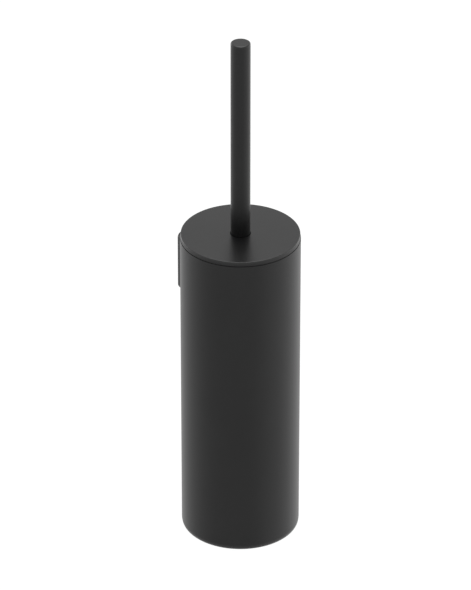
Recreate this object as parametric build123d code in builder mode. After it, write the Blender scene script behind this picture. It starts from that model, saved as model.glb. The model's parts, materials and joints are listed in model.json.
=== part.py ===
from build123d import *

import os

# Wall-hung toilet brush set: a round canister on a square wall plate, with a lid on the brush's handle.
# Millimetres. The canister's underside is at z = 0 on its own axis, +Z is up, and the wall is on +Y.

# Canister
CANISTER_R = 45.0
CANISTER_H = 248.1
CANISTER_WALL = 1.0
BASE_CURVE_INSET = 1.0
BASE_CURVE_H = 3.5
FLOOR_FILLET = 1.0

# Square plate behind the canister, its pocket and the wall bracket inside it
PLATE_SIDE = 50.0
PLATE_CORNER_R = 5.0
PLATE_MID_Z = 210.0
PLATE_FRONT_Y = 44.3
WALL_Y = 51.0
PLATE_EDGE_FILLET = 0.6
PLATE_RIM = 3.0
POCKET_DEPTH = 4.0
LEDGE_WIDTH = 28.0
LEDGE_DROP = 3.2
LEDGE_BACK_GAP = 0.1
LEDGE_THICKNESS = 1.5
LEDGE_REST_GAP = 0.2
SHEET = 1.5
BRACKET_WIDTH = 38.0
BRACKET_LOW_Z = 194.6
BRACKET_TOP_Z = 231.5
BRACKET_JOG = 2.1
BRACKET_BEND_R = 2.0
BRACKET_CORNER_R = 3.0
WALL_SCREW_SPACING = 24.0
WALL_SCREW_HOLE_R = 2.25
WALL_SCREW_Z = 211.0

# Screws through the back of the canister, and the lock screw under the plate
FIXING_SPACING = 32.0
FIXING_R = 2.0
FIXING_HEAD_R = 3.5
FIXING_HEAD_H = 1.8
FIXING_SOCKET_R = 1.45
WASHER_R = 4.5
WASHER_FACE_Y = 42.6
LOCK_SCREW_R = 1.5
LOCK_SCREW_LENGTH = 6.0
LOCK_SCREW_RECESS = 0.4
LOCK_SCREW_Y = 48.9
LOCK_BOSS_TOP_Z = 190.5
LOCK_BOSS_WIDTH = 8.0
LOCK_SOCKET_R = 0.85
THREAD_GAP = 0.05

# Liner cup inside the canister
LINER_LOW_Z = 1.2
LINER_TOP_Z = 240.0
LINER_LOW_R = 39.2
LINER_TOP_R = 40.0
LINER_WALL = 1.5
LINER_FILLET = 5.0
LINER_FLANGE_R = 43.6
LINER_FLANGE_H = 2.0
LINER_FOOT_R = 31.0
LINER_FOOT_RECESS = 1.0

# Lid: metal cover, moulded insert and the bush that the handle turns in
LID_R = 45.1
LID_TOP_Z = 251.85
LID_RIM_H = 3.15
LID_RIM_WIDTH = 2.4
LID_RIM_LEAN = 8.0
LID_RIM_ROUND = 0.8
LID_SHEET = 1.2
LID_HOLE_R = 7.75
SPIGOT_R = 43.4
SPIGOT_WALL = 1.6
SPIGOT_LOW_Z = 240.05
INSERT_DISC_LOW_Z = 248.6
BOSS_R = 10.0
BOSS_LOW_Z = 236.5
RIB_COUNT = 8
RIB_THICKNESS = 1.2
RIB_LOW_Z = 244.5
BUSH_R = 7.0
BUSH_FLANGE_R = 7.6
BUSH_FLANGE_H = 1.0
BUSH_TOP_Z = 250.2
BUSH_LOW_Z = 235.6

# Handle, its turned neck, washer and nut
HANDLE_R = 7.35
HANDLE_TOP_Z = 410.0
HANDLE_LOW_Z = 250.3
HANDLE_WALL = 1.2
HANDLE_TOP_WALL = 2.0
HANDLE_TOP_FILLET = 1.0
NECK_PLUG_H = 28.0
NECK_CHAMFER = 1.0
NECK_R = 5.0
NECK_SHOULDER_Z = 235.5
NECK_THREAD_R = 4.0
NECK_LOW_Z = 226.0
WASHER_H = 1.0
NECK_WASHER_R = 8.5
NUT_FLATS = 13.0
NUT_H = 5.5

# Stem and brush head: a 24-sided core, so that every tuft stands square on a flat of its own
STEM_R = 4.0
STUD_R = 3.0
STUD_LENGTH = 12.0
SOCKET_TOP_Z = 112.0
SOCKET_TOP_R = 6.5
SOCKET_LOW_Z = 98.0
CORE_R = 9.5
CORE_LOW_Z = 26.0
CORE_CHAMFER = 4.0
TUFTS_PER_ROW = 12
TUFT_ROOT_R = 1.25
TUFT_TIP_R = 2.9
BRUSH_R = 32.0
FIRST_ROW_Z = 36.0
ROW_PITCH = 9.2
ROW_DROOPS = (22.0, 8.0, 0.0, 0.0, 0.0, 0.0, 0.0)
END_RING_DROOP = 52.0
END_RING_REACH = 24.0
TIP_TUFTS = 6
TIP_RING_R = 4.5
TIP_DROOP = 78.0
TIP_REACH = 16.0

RUNNING_GAP = 0.05
OVERCUT = 1.0

os.makedirs("parts", exist_ok=True)


def save(part, name):
    """Label a finished piece and write its STEP file."""
    part.label = name
    export_step(part, f"parts/{name}.step")


# ---------------------------------------------------------------- canister

fixing_heights = [PLATE_MID_Z - FIXING_SPACING / 2, PLATE_MID_Z + FIXING_SPACING / 2]

with BuildPart() as canister_shell:
    with BuildSketch(Plane.XZ):
        with BuildLine():
            # the pressed base turns up into the wall along a tall soft curve
            underside = Line((0, 0), (CANISTER_R - BASE_CURVE_INSET, 0))
            turn = EllipticalCenterArc((CANISTER_R - BASE_CURVE_INSET, BASE_CURVE_H),
                                       BASE_CURVE_INSET, BASE_CURVE_H, start_angle=270, arc_size=90)
            Polyline(turn @ 1, (CANISTER_R, CANISTER_H), (0, CANISTER_H), underside @ 0)
        make_face()
    revolve(axis=Axis.Z)
    with BuildSketch(Plane.XY.offset(CANISTER_H)):
        Circle(CANISTER_R - CANISTER_WALL)
    extrude(amount=CANISTER_WALL - CANISTER_H, mode=Mode.SUBTRACT)
    inside_corner = canister_shell.edges().filter_by(GeomType.CIRCLE).filter_by(
        lambda edge: abs(edge.center().Z - CANISTER_WALL) < 0.01)
    fillet(inside_corner, FLOOR_FILLET)
    for height in fixing_heights:
        with Locations(Plane(origin=(0, CANISTER_R + OVERCUT, height), z_dir=(0, 1, 0))):
            Hole(FIXING_R + 2 * THREAD_GAP, depth=CANISTER_WALL + 2 * OVERCUT)
save(canister_shell.part, "canister_shell")

# ---------------------------------------------------------------- square plate behind it

plate_low_z = PLATE_MID_Z - PLATE_SIDE / 2
plate_top_z = PLATE_MID_Z + PLATE_SIDE / 2
pocket_side = PLATE_SIDE - 2 * PLATE_RIM
pocket_low_z = plate_low_z + PLATE_RIM
pocket_top_z = plate_top_z - PLATE_RIM
pocket_floor_y = WALL_Y - POCKET_DEPTH
wall_plane = Plane(origin=(0, WALL_Y, PLATE_MID_Z), x_dir=(1, 0, 0), z_dir=(0, 1, 0))

with BuildPart() as back_plate:
    with BuildSketch(wall_plane):
        RectangleRounded(PLATE_SIDE, PLATE_SIDE, PLATE_CORNER_R)
    extrude(amount=PLATE_FRONT_Y - WALL_Y)
    fillet(back_plate.faces().sort_by(Axis.Y)[0].outer_wire().edges(), PLATE_EDGE_FILLET)
    with BuildSketch(wall_plane):
        RectangleRounded(pocket_side, pocket_side, PLATE_CORNER_R - PLATE_RIM)
    extrude(amount=-POCKET_DEPTH, mode=Mode.SUBTRACT)
    # ledge that hooks behind the bracket's tongue
    with Locations((0, WALL_Y - LEDGE_BACK_GAP, pocket_top_z + OVERCUT)):
        Box(LEDGE_WIDTH, LEDGE_THICKNESS, LEDGE_DROP + OVERCUT,
            align=(Align.CENTER, Align.MAX, Align.MAX))
    # boss that carries the lock screw
    with Locations((0, WALL_Y - LEDGE_BACK_GAP, LOCK_BOSS_TOP_Z)):
        Box(LOCK_BOSS_WIDTH, POCKET_DEPTH - LEDGE_BACK_GAP + OVERCUT,
            LOCK_BOSS_TOP_Z - pocket_low_z + OVERCUT,
            align=(Align.CENTER, Align.MAX, Align.MAX))
    with Locations(Plane(origin=(0, LOCK_SCREW_Y, LOCK_BOSS_TOP_Z + OVERCUT), z_dir=(0, 0, 1))):
        Hole(LOCK_SCREW_R + THREAD_GAP, depth=LOCK_BOSS_TOP_Z - plate_low_z + 2 * OVERCUT)
    for height in fixing_heights:
        with Locations(Plane(origin=(0, pocket_floor_y + OVERCUT, height), z_dir=(0, 1, 0))):
            Hole(FIXING_R + THREAD_GAP, depth=pocket_floor_y - PLATE_FRONT_Y + 2 * OVERCUT)
    # saddle that seats on the canister's wall
    Cylinder(CANISTER_R, CANISTER_H, align=(Align.CENTER, Align.CENTER, Align.MIN), mode=Mode.SUBTRACT)
save(back_plate.part, "back_plate")

with BuildPart() as screw_washers:
    for height in fixing_heights:
        with BuildSketch(Plane(origin=(0, WASHER_FACE_Y, height), z_dir=(0, 1, 0))):
            Circle(WASHER_R)
            Circle(FIXING_R + 2 * THREAD_GAP, mode=Mode.SUBTRACT)
    extrude(amount=CANISTER_R - WASHER_FACE_Y)
    Cylinder(CANISTER_R - CANISTER_WALL, CANISTER_H,
             align=(Align.CENTER, Align.CENTER, Align.MIN), mode=Mode.INTERSECT)
save(screw_washers.part, "screw_washers")

with BuildPart() as plate_screws:
    for height in fixing_heights:
        with BuildSketch(Plane(origin=(0, WASHER_FACE_Y, height), z_dir=(0, 1, 0))):
            Circle(FIXING_HEAD_R)
    extrude(amount=-FIXING_HEAD_H)
    chamfer(plate_screws.edges().group_by(Axis.Y)[0], FIXING_HEAD_H / 2)
    for height in fixing_heights:
        with BuildSketch(Plane(origin=(0, WASHER_FACE_Y, height), z_dir=(0, 1, 0))):
            Circle(FIXING_R)
    extrude(amount=pocket_floor_y - WASHER_FACE_Y)
    for height in fixing_heights:
        with BuildSketch(Plane(origin=(0, WASHER_FACE_Y - FIXING_HEAD_H, height), z_dir=(0, 1, 0))):
            RegularPolygon(FIXING_SOCKET_R, 6)
    extrude(amount=FIXING_HEAD_H, mode=Mode.SUBTRACT)
save(plate_screws.part, "plate_screws")

with BuildPart() as lock_screw:
    with BuildSketch(Plane.XY.offset(plate_low_z + LOCK_SCREW_RECESS)):
        with Locations((0, LOCK_SCREW_Y)):
            Circle(LOCK_SCREW_R)
    extrude(amount=LOCK_SCREW_LENGTH)
    chamfer(lock_screw.edges().group_by(Axis.Z)[-1], LOCK_SCREW_R / 3)
    with BuildSketch(Plane.XY.offset(plate_low_z + LOCK_SCREW_RECESS)):
        with Locations((0, LOCK_SCREW_Y)):
            RegularPolygon(LOCK_SOCKET_R, 6)
    extrude(amount=LOCK_SCREW_LENGTH / 3, mode=Mode.SUBTRACT)
save(lock_screw.part, "lock_screw")

# ---------------------------------------------------------------- wall bracket, bent from sheet

tongue_back_y = WALL_Y - BRACKET_JOG
ledge_low_z = pocket_top_z - LEDGE_DROP
jog_top_z = ledge_low_z - LEDGE_REST_GAP
lip_front_y = tongue_back_y - SHEET

with BuildPart() as wall_bracket:
    with BuildSketch(Plane.YZ):
        with BuildLine():
            FilletPolyline(
                (lip_front_y, BRACKET_LOW_Z),
                (WALL_Y, BRACKET_LOW_Z),
                (WALL_Y, jog_top_z - BRACKET_JOG),
                (tongue_back_y, jog_top_z),
                (tongue_back_y, BRACKET_TOP_Z),
                radius=BRACKET_BEND_R,
            )
            offset(amount=SHEET, side=Side.LEFT)
        make_face()
    extrude(amount=BRACKET_WIDTH / 2, both=True)
    tongue_corners = wall_bracket.edges().filter_by(Axis.Y).group_by(Axis.Z)[-1]
    fillet(tongue_corners, BRACKET_CORNER_R)
    with Locations(Plane(origin=(0, WALL_Y + OVERCUT, WALL_SCREW_Z), x_dir=(1, 0, 0), z_dir=(0, 1, 0))):
        with GridLocations(WALL_SCREW_SPACING, 0, 2, 1):
            Hole(WALL_SCREW_HOLE_R, depth=SHEET + 2 * OVERCUT)
save(wall_bracket.part, "wall_bracket")

# ---------------------------------------------------------------- liner

with BuildPart() as liner:
    with BuildSketch(Plane.XZ):
        with BuildLine():
            Polyline(
                (0, LINER_LOW_Z),
                (LINER_LOW_R, LINER_LOW_Z),
                (LINER_TOP_R, LINER_TOP_Z),
                (0, LINER_TOP_Z),
                close=True,
            )
        make_face()
    revolve(axis=Axis.Z)
    fillet(liner.edges().group_by(Axis.Z)[0], LINER_FILLET)
    offset(amount=-LINER_WALL, openings=liner.faces().sort_by(Axis.Z)[-1])
    with BuildSketch(Plane.XY.offset(LINER_TOP_Z)):
        Circle(LINER_FLANGE_R)
        Circle(LINER_TOP_R - LINER_WALL, mode=Mode.SUBTRACT)
    extrude(amount=-LINER_FLANGE_H)
    chamfer(liner.edges().group_by(Axis.Z)[-1].sort_by(SortBy.RADIUS)[-1], LINER_FLANGE_H / 3)
    # shallow recess under the floor, which leaves a ring to stand on
    with BuildSketch(Plane.XY.offset(LINER_LOW_Z)):
        Circle(LINER_FOOT_R)
    extrude(amount=LINER_FOOT_RECESS, taper=45, mode=Mode.SUBTRACT)
save(liner.part, "liner")

# ---------------------------------------------------------------- lid

lid_low_z = LID_TOP_Z - LID_RIM_H
lid_ceiling_z = LID_TOP_Z - LID_SHEET
inside_r = LID_R - LID_RIM_WIDTH

with BuildPart() as lid_cover:
    with BuildSketch(Plane.XY.offset(lid_low_z)):
        Circle(LID_R)
    extrude(amount=LID_RIM_H, taper=LID_RIM_LEAN)
    fillet(lid_cover.edges().group_by(Axis.Z)[-1], LID_RIM_ROUND)
    with BuildSketch(Plane.XY.offset(lid_low_z)):
        Circle(inside_r)
    extrude(amount=LID_RIM_H - LID_SHEET, mode=Mode.SUBTRACT)
    with Locations((0, 0, LID_TOP_Z)):
        Hole(LID_HOLE_R)
save(lid_cover.part, "lid_cover")

with BuildPart() as lid_insert:
    with BuildSketch(Plane.XZ):
        with BuildLine():
            Polyline(
                (BUSH_R + RUNNING_GAP, BOSS_LOW_Z),
                (BOSS_R, BOSS_LOW_Z),
                (BOSS_R, INSERT_DISC_LOW_Z),
                (SPIGOT_R - SPIGOT_WALL, INSERT_DISC_LOW_Z),
                (SPIGOT_R - SPIGOT_WALL, SPIGOT_LOW_Z),
                (SPIGOT_R - SPIGOT_WALL / 3, SPIGOT_LOW_Z),
                (SPIGOT_R, SPIGOT_LOW_Z + SPIGOT_WALL),
                (SPIGOT_R, lid_low_z),
                (inside_r - RUNNING_GAP, lid_low_z),
                (inside_r - RUNNING_GAP, lid_ceiling_z),
                (LID_HOLE_R, lid_ceiling_z),
                (LID_HOLE_R, BUSH_TOP_Z - BUSH_FLANGE_H),
                (BUSH_R + RUNNING_GAP, BUSH_TOP_Z - BUSH_FLANGE_H),
                close=True,
            )
        make_face()
    revolve(axis=Axis.Z)
    # ribs that run from the boss to the spigot under the disc
    with BuildSketch(Plane.XY.offset(INSERT_DISC_LOW_Z)):
        rib_length = SPIGOT_R - SPIGOT_WALL - BOSS_R
        with PolarLocations(BOSS_R + rib_length / 2, RIB_COUNT):
            Rectangle(rib_length + SPIGOT_WALL, RIB_THICKNESS)
    extrude(amount=RIB_LOW_Z - INSERT_DISC_LOW_Z)
save(lid_insert.part, "lid_insert")

with BuildPart() as lid_bush:
    with BuildSketch(Plane.XY.offset(BUSH_LOW_Z)):
        Circle(BUSH_R)
    extrude(amount=BUSH_TOP_Z - BUSH_LOW_Z)
    with BuildSketch(Plane.XY.offset(BUSH_TOP_Z)):
        Circle(BUSH_FLANGE_R)
    extrude(amount=-BUSH_FLANGE_H)
    with Locations((0, 0, BUSH_TOP_Z)):
        Hole(NECK_R + RUNNING_GAP)
save(lid_bush.part, "lid_bush")

# ---------------------------------------------------------------- handle

with BuildPart() as handle_tube:
    with BuildSketch(Plane.XY.offset(HANDLE_LOW_Z)):
        Circle(HANDLE_R)
    extrude(amount=HANDLE_TOP_Z - HANDLE_LOW_Z)
    fillet(handle_tube.edges().group_by(Axis.Z)[-1], HANDLE_TOP_FILLET)
    with BuildSketch(Plane.XY.offset(HANDLE_LOW_Z)):
        Circle(HANDLE_R - HANDLE_WALL)
    extrude(amount=HANDLE_TOP_Z - HANDLE_TOP_WALL - HANDLE_LOW_Z, mode=Mode.SUBTRACT)
save(handle_tube.part, "handle_tube")

with BuildPart() as handle_neck:
    with BuildSketch(Plane.XY.offset(HANDLE_LOW_Z)):
        Circle(HANDLE_R - HANDLE_WALL - THREAD_GAP)
    extrude(amount=NECK_PLUG_H)
    chamfer(handle_neck.edges().group_by(Axis.Z)[-1], NECK_CHAMFER)
    with BuildSketch(Plane.XY.offset(HANDLE_LOW_Z)):
        Circle(NECK_R)
    extrude(amount=NECK_SHOULDER_Z - HANDLE_LOW_Z)
    with BuildSketch(Plane.XY.offset(NECK_SHOULDER_Z)):
        Circle(NECK_THREAD_R)
    extrude(amount=NECK_LOW_Z - NECK_SHOULDER_Z)
    with BuildSketch(Plane.XY.offset(NECK_LOW_Z)):
        Circle(STUD_R + THREAD_GAP)
    extrude(amount=STUD_LENGTH + OVERCUT, mode=Mode.SUBTRACT)
save(handle_neck.part, "handle_neck")

with BuildPart() as neck_washer:
    with BuildSketch(Plane.XY.offset(NECK_SHOULDER_Z)):
        Circle(NECK_WASHER_R)
        Circle(NECK_THREAD_R + THREAD_GAP, mode=Mode.SUBTRACT)
    extrude(amount=-WASHER_H)
save(neck_washer.part, "neck_washer")

with BuildPart() as retaining_nut:
    with BuildSketch(Plane.XY.offset(NECK_SHOULDER_Z - WASHER_H)):
        RegularPolygon(NUT_FLATS / 2, 6, major_radius=False)
        Circle(NECK_THREAD_R + THREAD_GAP, mode=Mode.SUBTRACT)
    extrude(amount=-NUT_H)
save(retaining_nut.part, "retaining_nut")

with BuildPart() as brush_stem:
    with BuildSketch(Plane.XY.offset(SOCKET_TOP_Z)):
        Circle(STEM_R)
    extrude(amount=NECK_LOW_Z - SOCKET_TOP_Z)
    with BuildSketch(Plane.XY.offset(SOCKET_TOP_Z - STUD_LENGTH)):
        Circle(STUD_R)
    extrude(amount=NECK_LOW_Z - SOCKET_TOP_Z + 2 * STUD_LENGTH)
save(brush_stem.part, "brush_stem")

# ---------------------------------------------------------------- brush head


def tuft_ring(count, start_angle, root, droop, length, seat):
    """A ring of six-sided tufts that widen outwards.

    Each tuft leaves the root point (x, z) with the given droop below level, reaches the given length, and
    is trimmed flush with the core's flat there, the seat plane.
    """
    slope = (TUFT_TIP_R - TUFT_ROOT_R) / (BRUSH_R - CORE_R)
    tail = 2 * TUFT_ROOT_R
    with BuildPart() as tuft:
        # three crossed tapering slabs leave a hexagon
        for turn in (0, 60, 120):
            with BuildSketch(Plane.XY.rotated((turn, 0, 0))):
                with BuildLine():
                    Polyline(
                        (-tail, TUFT_ROOT_R - slope * tail),
                        (length, TUFT_ROOT_R + slope * length),
                        (length, -TUFT_ROOT_R - slope * length),
                        (-tail, -TUFT_ROOT_R + slope * tail),
                        close=True,
                    )
                make_face()
            extrude(amount=2 * TUFT_TIP_R, both=True, mode=Mode.INTERSECT if turn else Mode.ADD)
    with BuildPart() as trimmed:
        add(Pos(root[0], 0, root[1]) * Rot(0, droop, 0) * tuft.part)
        split(bisect_by=seat, keep=Keep.TOP)
    with BuildPart() as ring:
        with PolarLocations(0, count, start_angle):
            add(trimmed.part)
    return ring.part


side_seat = Plane(origin=(CORE_R, 0, 0), z_dir=(1, 0, 0))
half_chamfer = CORE_CHAMFER / 2
end_root = (CORE_R - half_chamfer, CORE_LOW_Z + half_chamfer)
end_seat = Plane(origin=(end_root[0], 0, end_root[1]), z_dir=(1, 0, -1))
tip_seat = Plane(origin=(0, 0, CORE_LOW_Z), z_dir=(0, 0, -1))
half_pitch = 180 / TUFTS_PER_ROW

for row, droop in enumerate(ROW_DROOPS):
    row_z = FIRST_ROW_Z + row * ROW_PITCH
    row_ring = tuft_ring(TUFTS_PER_ROW, half_pitch * (row % 2), (CORE_R, row_z), droop,
                         BRUSH_R - CORE_R, side_seat)
    save(row_ring, f"tufts_row_{row + 1}")
end_ring = tuft_ring(TUFTS_PER_ROW, half_pitch, end_root, END_RING_DROOP, END_RING_REACH, end_seat)
save(end_ring, "tufts_end_ring")
tip_ring = tuft_ring(TIP_TUFTS, 0, (TIP_RING_R, CORE_LOW_Z), TIP_DROOP, TIP_REACH, tip_seat)
save(tip_ring, "tufts_tip_ring")

with BuildPart() as brush_core:
    with BuildSketch(Plane.XY.offset(CORE_LOW_Z)):
        RegularPolygon(CORE_R, 2 * TUFTS_PER_ROW, major_radius=False, rotation=half_pitch / 2)
    extrude(amount=SOCKET_LOW_Z - CORE_LOW_Z)
    chamfer(brush_core.edges().group_by(Axis.Z)[0], CORE_CHAMFER)
    # round socket that the stem screws into, tapering up from the core
    with BuildSketch(Plane.XZ):
        with BuildLine():
            Polyline(
                (0, SOCKET_LOW_Z),
                (CORE_R, SOCKET_LOW_Z),
                (SOCKET_TOP_R, SOCKET_TOP_Z),
                (0, SOCKET_TOP_Z),
                close=True,
            )
        make_face()
    revolve(axis=Axis.Z)
    with BuildSketch(Plane.XY.offset(SOCKET_TOP_Z)):
        Circle(STUD_R + THREAD_GAP)
    extrude(amount=-STUD_LENGTH - OVERCUT, mode=Mode.SUBTRACT)
save(brush_core.part, "brush_core")
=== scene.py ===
import json
import random
from math import cos, pi, radians, sin, tan

import bpy
import bmesh
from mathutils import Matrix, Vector


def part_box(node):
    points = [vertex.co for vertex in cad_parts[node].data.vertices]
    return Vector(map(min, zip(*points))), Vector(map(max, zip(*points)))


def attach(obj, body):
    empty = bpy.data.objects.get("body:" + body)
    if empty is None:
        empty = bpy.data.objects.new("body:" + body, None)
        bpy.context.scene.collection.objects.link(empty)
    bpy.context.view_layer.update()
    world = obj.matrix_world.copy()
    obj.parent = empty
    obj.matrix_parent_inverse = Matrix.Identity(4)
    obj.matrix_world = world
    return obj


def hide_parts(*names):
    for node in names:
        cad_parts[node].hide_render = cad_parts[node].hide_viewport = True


# Wall-hung toilet brush set in satin black. Metres, in the CAD's own frame: the canister's axis is the Z
# axis, its underside is at z = 0, and the wall is on +Y.

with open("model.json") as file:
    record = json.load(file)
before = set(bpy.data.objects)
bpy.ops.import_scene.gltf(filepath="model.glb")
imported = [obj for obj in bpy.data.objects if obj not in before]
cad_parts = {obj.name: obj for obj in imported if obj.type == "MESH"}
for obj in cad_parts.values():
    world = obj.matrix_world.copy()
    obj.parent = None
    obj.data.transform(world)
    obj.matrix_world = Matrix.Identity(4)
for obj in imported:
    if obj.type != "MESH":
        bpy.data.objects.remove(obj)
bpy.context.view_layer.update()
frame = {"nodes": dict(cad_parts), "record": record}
nodes = frame["nodes"]

scene = bpy.context.scene
scene.view_settings.view_transform = "Standard"


def placed(name, data):
    """A new object of a mesh or a camera, linked into the scene."""
    thing = bpy.data.objects.new(name, data)
    scene.collection.objects.link(thing)
    return thing


# ---------------------------------------------------------------- materials

CURVE_TOP = 2.0
BUMP_DEPTH = 0.0001


class Graph:
    """A node tree with short calls for the nodes that materials and the world share."""

    def __init__(self, tree):
        self.tree = tree

    def add(self, kind, **settings):
        node = self.tree.nodes.new(kind)
        for key, value in settings.items():
            setattr(node, key, value)
        return node

    def link(self, output, socket):
        self.tree.links.new(output, socket)

    def mixed(self, factor, first, second):
        """A mix of two shaders by a number or by a socket."""
        mix = self.add("ShaderNodeMixShader")
        if isinstance(factor, float):
            mix.inputs["Fac"].default_value = factor
        else:
            self.link(factor, mix.inputs["Fac"])
        self.link(first.outputs[0], mix.inputs[1])
        self.link(second.outputs[0], mix.inputs[2])
        return mix

    def smooth(self, value, start, end, low, high):
        """Eases from low to high while the value goes from start to end."""
        mapped = self.add("ShaderNodeMapRange", interpolation_type="SMOOTHSTEP")
        for socket, number in zip(mapped.inputs[1:5], (start, end, low, high)):
            socket.default_value = number
        self.link(value, mapped.inputs["Value"])
        return mapped.outputs["Result"]

    def curve(self, value, points):
        """A smooth curve through (value, result) points, for values from -1 to 1 and results up to 2.

        Blender's own curve runs from 0 to 1 both ways, so the values are shifted and the results scaled.
        """
        shift = self.add("ShaderNodeMapRange")
        shift.inputs["From Min"].default_value = -1.0
        self.link(value, shift.inputs["Value"])
        bend = self.add("ShaderNodeFloatCurve")
        stops = bend.mapping.curves[0].points
        for place, result in points:
            stop = stops.new((place + 1) / 2, result / CURVE_TOP)
            stop.handle_type = "AUTO_CLAMPED"
        stops[0].location.y = points[0][1] / CURVE_TOP
        stops[-1].location.y = points[-1][1] / CURVE_TOP
        bend.mapping.update()
        self.link(shift.outputs["Result"], bend.inputs["Value"])
        scaled = self.add("ShaderNodeMath", operation="MULTIPLY")
        scaled.inputs[1].default_value = CURVE_TOP
        self.link(bend.outputs[0], scaled.inputs[0])
        return scaled.outputs[0]


class Shader(Graph):
    """A Principled material in object coordinates."""

    def __init__(self, name):
        self.material = bpy.data.materials.new(name)
        self.material.use_nodes = True
        super().__init__(self.material.node_tree)
        self.bsdf = self.tree.nodes["Principled BSDF"]
        self.coordinates = self.add("ShaderNodeTexCoord").outputs["Object"]

    def set(self, **values):
        """Constant values straight on the Principled sockets."""
        for key, value in values.items():
            self.bsdf.inputs[key.replace("_", " ")].default_value = value

    def stretched(self, scale):
        """Object coordinates scaled by a vector, for grain that runs one way."""
        mapping = self.add("ShaderNodeMapping")
        mapping.inputs["Scale"].default_value = scale
        self.link(self.coordinates, mapping.inputs["Vector"])
        return mapping.outputs["Vector"]

    def noise(self, scale, detail=2.0, roughness=0.5, vector=None):
        """Noise from 0 to 1, in object coordinates unless a vector is given."""
        texture = self.add("ShaderNodeTexNoise")
        texture.inputs["Scale"].default_value = scale
        texture.inputs["Detail"].default_value = detail
        texture.inputs["Roughness"].default_value = roughness
        self.link(vector or self.coordinates, texture.inputs["Vector"])
        return texture.outputs["Fac"]

    def gloss(self, factor, low, high):
        """A 0 to 1 factor mapped to a range of roughness."""
        mapped = self.add("ShaderNodeMapRange")
        mapped.inputs["To Min"].default_value = low
        mapped.inputs["To Max"].default_value = high
        self.link(factor, mapped.inputs["Value"])
        self.link(mapped.outputs["Result"], self.bsdf.inputs["Roughness"])

    def colours(self, factor, low, high):
        """A 0 to 1 factor mapped to the colours between two, which go to the surface."""
        ramp = self.add("ShaderNodeValToRGB")
        ramp.color_ramp.elements[0].color = (*low, 1)
        ramp.color_ramp.elements[1].color = (*high, 1)
        self.link(factor, ramp.inputs["Fac"])
        self.link(ramp.outputs["Color"], self.bsdf.inputs["Base Color"])

    def bump(self, height, strength):
        """Fine relief from a 0 to 1 height."""
        node = self.add("ShaderNodeBump")
        node.inputs["Strength"].default_value = strength
        node.inputs["Distance"].default_value = BUMP_DEPTH
        self.link(height, node.inputs["Height"])
        self.link(node.outputs["Normal"], self.bsdf.inputs["Normal"])


def black_paint():
    """Satin black powder coat: very fine orange peel and a faintly uneven gloss."""
    shader = Shader("black_paint")
    shader.set(IOR=1.5)
    cloud = shader.noise(scale=38.0, detail=3.0)
    shader.colours(cloud, low=(0.0028, 0.0028, 0.0029), high=(0.0042, 0.0042, 0.0043))
    shader.gloss(cloud, low=0.275, high=0.315)
    shader.bump(shader.noise(scale=900.0), strength=0.05)
    return shader.material


def steel():
    """Brushed stainless steel with its grain round the turned parts."""
    shader = Shader("steel")
    shader.set(Metallic=1.0)
    grain = shader.noise(scale=60.0, detail=4.0, roughness=0.7, vector=shader.stretched((2.0, 2.0, 40.0)))
    shader.colours(grain, low=(0.36, 0.36, 0.36), high=(0.52, 0.52, 0.51))
    shader.gloss(grain, low=0.24, high=0.42)
    shader.bump(grain, strength=0.12)
    return shader.material


def black_plastic():
    """Moulded plastic with a fine spark-eroded texture."""
    shader = Shader("black_plastic")
    cloud = shader.noise(scale=30.0, detail=3.0)
    shader.colours(cloud, low=(0.010, 0.010, 0.010), high=(0.016, 0.016, 0.016))
    shader.gloss(cloud, low=0.48, high=0.56)
    shader.bump(shader.noise(scale=1400.0, detail=3.0, roughness=0.6), strength=0.18)
    return shader.material


def bristle_nylon():
    """Black nylon bristles, a little lighter on some strands."""
    shader = Shader("bristle")
    strands = shader.noise(scale=420.0, detail=1.0)
    shader.colours(strands, low=(0.008, 0.008, 0.008), high=(0.03, 0.03, 0.03))
    shader.gloss(strands, low=0.34, high=0.5)
    shader.bump(strands, strength=0.1)
    return shader.material


finishes = {
    "black_paint": black_paint(),
    "steel": steel(),
    "black_plastic": black_plastic(),
    "bristle": bristle_nylon(),
}


def paint(piece, finish):
    """Gives a piece one of the finishes, and no other."""
    piece.data.materials.clear()
    piece.data.materials.append(finishes[finish])


for subpart in frame["record"]["subparts"]:
    paint(nodes[subpart["node"]], subpart["material_slot"])


# ---------------------------------------------------------------- lid

# The lid's cap has its fine form here. Its side is nearly upright and its foot stands a little inside the
# canister's edge and closer above it, so that the shadow gap is a crisp dark line out to the lid's ends.
LID_LEAN = radians(3.2)
LID_INSET = 0.00038
LID_TOP_ROUND = 0.0005
LID_FOOT_ROUND = 0.0001
LID_FOOT_DROP = 0.0003
LID_INNER_R = 0.0427
LID_FOOT_INNER_R = 0.0435
LID_SHEET = 0.0012
LID_HOLE_R = 0.00775
LID_SEGMENTS = 288
LID_ROUND_STEPS = 10
SHARP_FROM = radians(30.0)


def lid_profile(low, top, radius):
    """The section of the cap as (radius, height) points, from its inner foot out, up and in to its hole."""
    foot_z = low - LID_FOOT_DROP + LID_FOOT_ROUND
    points = [(LID_FOOT_INNER_R, low - LID_FOOT_DROP)]
    for step in range(LID_ROUND_STEPS + 1):
        angle = step / LID_ROUND_STEPS * pi / 2
        points.append((radius - LID_FOOT_ROUND * (1 - sin(angle)), foot_z - LID_FOOT_ROUND * cos(angle)))
    middle_z = top - LID_TOP_ROUND
    shoulder_r = radius - (middle_z + LID_TOP_ROUND * sin(LID_LEAN) - foot_z) * tan(LID_LEAN)
    middle_r = shoulder_r - LID_TOP_ROUND * cos(LID_LEAN)
    for step in range(LID_ROUND_STEPS + 1):
        angle = LID_LEAN + step / LID_ROUND_STEPS * (pi / 2 - LID_LEAN)
        points.append((middle_r + LID_TOP_ROUND * cos(angle), middle_z + LID_TOP_ROUND * sin(angle)))
    points += [(LID_HOLE_R, top), (LID_HOLE_R, top - LID_SHEET), (LID_INNER_R, top - LID_SHEET)]
    points += [(LID_INNER_R, low), (LID_FOOT_INNER_R, low)]
    return points


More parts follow.
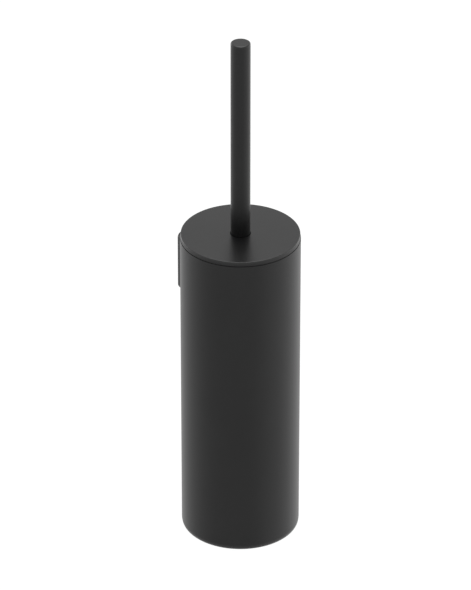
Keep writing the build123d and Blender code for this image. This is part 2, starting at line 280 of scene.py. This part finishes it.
def lid_cap():
    """The cap turned round the Z axis, in place of the CAD's one, which leans more and ends higher."""
    low_corner, high_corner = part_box("lid_cover")
    profile = lid_profile(low_corner[2], high_corner[2], high_corner[0] - LID_INSET)
    turned = bmesh.new()
    ring = [turned.verts.new((radius, 0, height)) for radius, height in profile]
    edges = [turned.edges.new((ring[spot - 1], ring[spot])) for spot in range(len(ring))]
    bmesh.ops.spin(turned, geom=ring + edges, axis=(0, 0, 1), cent=(0, 0, 0), angle=2 * pi,
                   steps=LID_SEGMENTS, use_merge=True)
    bmesh.ops.recalc_face_normals(turned, faces=turned.faces)
    mesh = bpy.data.meshes.new("lid_cap")
    turned.to_mesh(mesh)
    turned.free()
    mesh.shade_smooth()
    mesh.set_sharp_from_angle(angle=SHARP_FROM)
    piece = placed("lid_cap", mesh)
    paint(piece, "black_paint")
    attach(piece, "lid")
    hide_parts("lid_cover")


lid_cap()


# ---------------------------------------------------------------- bristles

TUFT_CORNERS = 6
WELD = 1e-6
STRANDS_PER_TUFT = 30
STRAND_R = 0.00017
STRAND_TAPER = 0.25
STRAND_SIDES = 3
STRAND_RINGS = 5
STRAND_ROOT = 4 * STRAND_R
STRAND_WAVE = 0.0003
SHORTEST_STRAND = 0.93
TIP_FILL = 0.9
STRAND_STRAY = 0.25
GOLDEN_ANGLE = pi * (3.0 - 5.0 ** 0.5)
BRISTLE_SEED = 5


def tufts_of(node, heart):
    """The tufts of a CAD ring as (root, tip, root radius, tip radius), read from its separate solids."""
    mesh = bmesh.new()
    mesh.from_mesh(nodes[node].data)
    bmesh.ops.remove_doubles(mesh, verts=mesh.verts, dist=WELD)
    waiting = set(mesh.verts)
    tufts = []
    while waiting:
        island = set()
        edge = [min(waiting, key=lambda vert: vert.index)]
        while edge:
            vert = edge.pop()
            if vert not in island:
                island.add(vert)
                edge.extend(link.other_vert(vert) for link in vert.link_edges)
        waiting -= island
        places = sorted((vert.co.copy() for vert in island), key=lambda place: (place - heart).length)
        ends = []
        for corners in (places[:TUFT_CORNERS], places[-TUFT_CORNERS:]):
            middle = sum(corners, Vector()) / TUFT_CORNERS
            ends.append((middle, sum((corner - middle).length for corner in corners) / TUFT_CORNERS))
        (root, root_r), (tip, tip_r) = ends
        tufts.append((root, tip, root_r, tip_r))
    mesh.free()
    return tufts


def strand(verts, faces, start, end, bulge, dice):
    """One bristle: a thin round rod from start to end, bowed by the bulge vector, with a closed tip."""
    along = (end - start).normalized()
    side = along.orthogonal().normalized()
    other = along.cross(side)
    spin = dice.uniform(0.0, 2.0 * pi)
    first = len(verts)
    for ring in range(STRAND_RINGS):
        share = ring / (STRAND_RINGS - 1)
        middle = start.lerp(end, share) + bulge * sin(pi * share)
        radius = STRAND_R * (1.0 - STRAND_TAPER * share)
        for corner in range(STRAND_SIDES):
            angle = spin + 2.0 * pi * corner / STRAND_SIDES
            verts.append(middle + radius * (cos(angle) * side + sin(angle) * other))
    for ring in range(STRAND_RINGS - 1):
        low = first + ring * STRAND_SIDES
        for corner in range(STRAND_SIDES):
            after = (corner + 1) % STRAND_SIDES
            high = low + STRAND_SIDES
            faces.append((low + corner, low + after, high + after, high + corner))
    last = first + (STRAND_RINGS - 1) * STRAND_SIDES
    faces.append(tuple(range(last, last + STRAND_SIDES)))
    faces.append(tuple(range(first + STRAND_SIDES - 1, first - 1, -1)))


def bristle_ring(node, heart, dice):
    """The bristles of one ring of tufts, which stand for the CAD's solid tufts."""
    verts = []
    faces = []
    for root, tip, root_r, tip_r in tufts_of(node, heart):
        along = (tip - root).normalized()
        side = along.orthogonal().normalized()
        other = along.cross(side)
        for number in range(STRANDS_PER_TUFT):
            reach = ((number + 0.5) / STRANDS_PER_TUFT) ** 0.5
            angle = number * GOLDEN_ANGLE + dice.uniform(-STRAND_STRAY, STRAND_STRAY)
            way = cos(angle) * side + sin(angle) * other
            length = (tip - root).length * dice.uniform(SHORTEST_STRAND, 1.0)
            start = root + way * reach * (root_r - STRAND_R) - along * STRAND_ROOT
            end = root + along * length + way * reach * (tip_r * TIP_FILL - STRAND_R)
            bulge = (side * dice.uniform(-1, 1) + other * dice.uniform(-1, 1)) * STRAND_WAVE
            strand(verts, faces, start, end, bulge, dice)
    mesh = bpy.data.meshes.new("bristles_" + node)
    mesh.from_pydata(verts, [], faces)
    mesh.shade_smooth()
    piece = placed("bristles_" + node, mesh)
    paint(piece, "bristle")
    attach(piece, "brush")
    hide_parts(node)


core_low, core_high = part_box("brush_core")
brush_heart = (core_low + core_high) / 2
dice = random.Random(BRISTLE_SEED)
for node in sorted(nodes):
    if node.startswith("tufts_"):
        bristle_ring(node, brush_heart, dice)


# ---------------------------------------------------------------- floor, light and camera

FLOOR_HALF = 6.0
FLOOR_DROP = 0.0002
FLOOR_GREY = 0.8
FLOOR_GLOW = 0.94
FLOOR_WHITE = 1.04
WHITE = (1, 1, 1, 1)
CAMERA_TURN = -30.0


def white_floor():
    """Pale floor: white to the camera with the faintest contact shadow, plain pale grey to the object.

    Reflections look through it to the surround below, so that the satin black shows an even white studio.
    """
    material = bpy.data.materials.new("white_floor")
    material.use_nodes = True
    graph = Graph(material.node_tree)
    material.node_tree.nodes.clear()
    light_path = graph.add("ShaderNodeLightPath")
    plain = graph.add("ShaderNodeBsdfDiffuse")
    plain.inputs["Color"].default_value = (FLOOR_GREY, FLOOR_GREY, FLOOR_GREY, 1)
    open_below = graph.add("ShaderNodeBsdfTransparent")
    shadowed = graph.add("ShaderNodeBsdfDiffuse")
    shadowed.inputs["Color"].default_value = WHITE
    white = graph.add("ShaderNodeEmission")
    white.inputs["Strength"].default_value = FLOOR_WHITE
    seen = graph.mixed(FLOOR_GLOW, shadowed, white)
    lit = graph.mixed(light_path.outputs["Is Glossy Ray"], plain, open_below)
    surface = graph.mixed(light_path.outputs["Is Camera Ray"], lit, seen)
    graph.link(surface.outputs[0], graph.add("ShaderNodeOutputMaterial").inputs["Surface"])
    return material


floor_mesh = bpy.data.meshes.new("floor")
floor_mesh.from_pydata(
    [(-FLOOR_HALF, -FLOOR_HALF, 0), (FLOOR_HALF, -FLOOR_HALF, 0),
     (FLOOR_HALF, FLOOR_HALF, 0), (-FLOOR_HALF, FLOOR_HALF, 0)],
    [], [(0, 1, 2, 3)])
floor_mesh.materials.append(white_floor())
floor = placed("floor", floor_mesh)
floor.location.z = -FLOOR_DROP

# The studio round the object: strengths by height of the direction, as its sine, for the floor straight
# below, the dimmer floor further out, the horizon and the surround above, and broad soft panels. Each panel
# is its turn from the camera (positive to the camera's right), its height above level, the angles at which
# it starts to fade and ends, and what it adds.
LEVELS = [
    (-0.95, 1.0), (-0.75, 0.85), (-0.56, 0.47), (-0.46, 0.45), (-0.3, 1.1), (-0.15, 1.3), (0.05, 1.0),
    (0.2, 0.4), (0.4, 0.53),
]
PANELS = [
    (180.0, 68.0, 8.0, 32.0, 2.8),
    (0.0, 80.0, 10.0, 34.0, 2.6),
    (95.0, 12.0, 10.0, 42.0, 0.5),
    (-95.0, 12.0, 10.0, 40.0, 0.4),
    (140.0, 6.0, 8.0, 32.0, 1.1),
    (-140.0, 6.0, 8.0, 32.0, 1.1),
    (95.0, -30.0, 5.0, 63.0, 0.22),
    (-172.0, -30.0, 5.0, 103.0, 0.27),
]


def studio_direction(turn, height):
    """Unit vector at a turn from the camera's side of the object and a height above level, in degrees."""
    azimuth = radians(CAMERA_TURN - 90.0 + turn)
    return Vector((cos(azimuth) * cos(radians(height)), sin(azimuth) * cos(radians(height)),
                   sin(radians(height))))


def soft_world():
    """White surround: pure white to the camera, and the soft studio to everything else."""
    world = bpy.data.worlds.new("studio")
    world.use_nodes = True
    graph = Graph(world.node_tree)
    world.node_tree.nodes.clear()
    direction = graph.add("ShaderNodeTexCoord").outputs["Generated"]
    height = graph.add("ShaderNodeSeparateXYZ")
    graph.link(direction, height.inputs[0])
    strength = graph.curve(height.outputs["Z"], LEVELS)
    for turn, up, inner, outer, gain in PANELS:
        towards = graph.add("ShaderNodeVectorMath", operation="DOT_PRODUCT")
        graph.link(direction, towards.inputs[0])
        towards.inputs[1].default_value = studio_direction(turn, up)
        panel = graph.smooth(towards.outputs["Value"], cos(radians(outer)), cos(radians(inner)), 0.0, gain)
        total = graph.add("ShaderNodeMath", operation="ADD")
        graph.link(strength, total.inputs[0])
        graph.link(panel, total.inputs[1])
        strength = total.outputs[0]
    studio = graph.add("ShaderNodeBackground")
    graph.link(strength, studio.inputs["Strength"])
    backdrop = graph.add("ShaderNodeBackground")
    for background in (studio, backdrop):
        background.inputs["Color"].default_value = WHITE
    light_path = graph.add("ShaderNodeLightPath")
    surface = graph.mixed(light_path.outputs["Is Camera Ray"], studio, backdrop)
    graph.link(surface.outputs[0], graph.add("ShaderNodeOutputWorld").inputs["Surface"])
    return world


scene.world = soft_world()

# The camera stands 30 degrees to the left of the object's front and looks 30 degrees down, from far off
# with a long lens.
CAMERA_PLACE = (-1.4474, -2.4996, 1.8798)
CAMERA_DOWN = 30.204
CAMERA_LENS = 272.5
SENSOR_WIDTH = 36.0
SIGHT_END = 50.0

camera_data = bpy.data.cameras.new("camera")
camera_data.sensor_width = SENSOR_WIDTH
camera_data.lens = CAMERA_LENS
camera_data.clip_end = SIGHT_END
camera = placed("camera", camera_data)
camera.location = CAMERA_PLACE
camera.rotation_euler = (radians(90.0 - CAMERA_DOWN), 0.0, radians(CAMERA_TURN))
scene.camera = camera
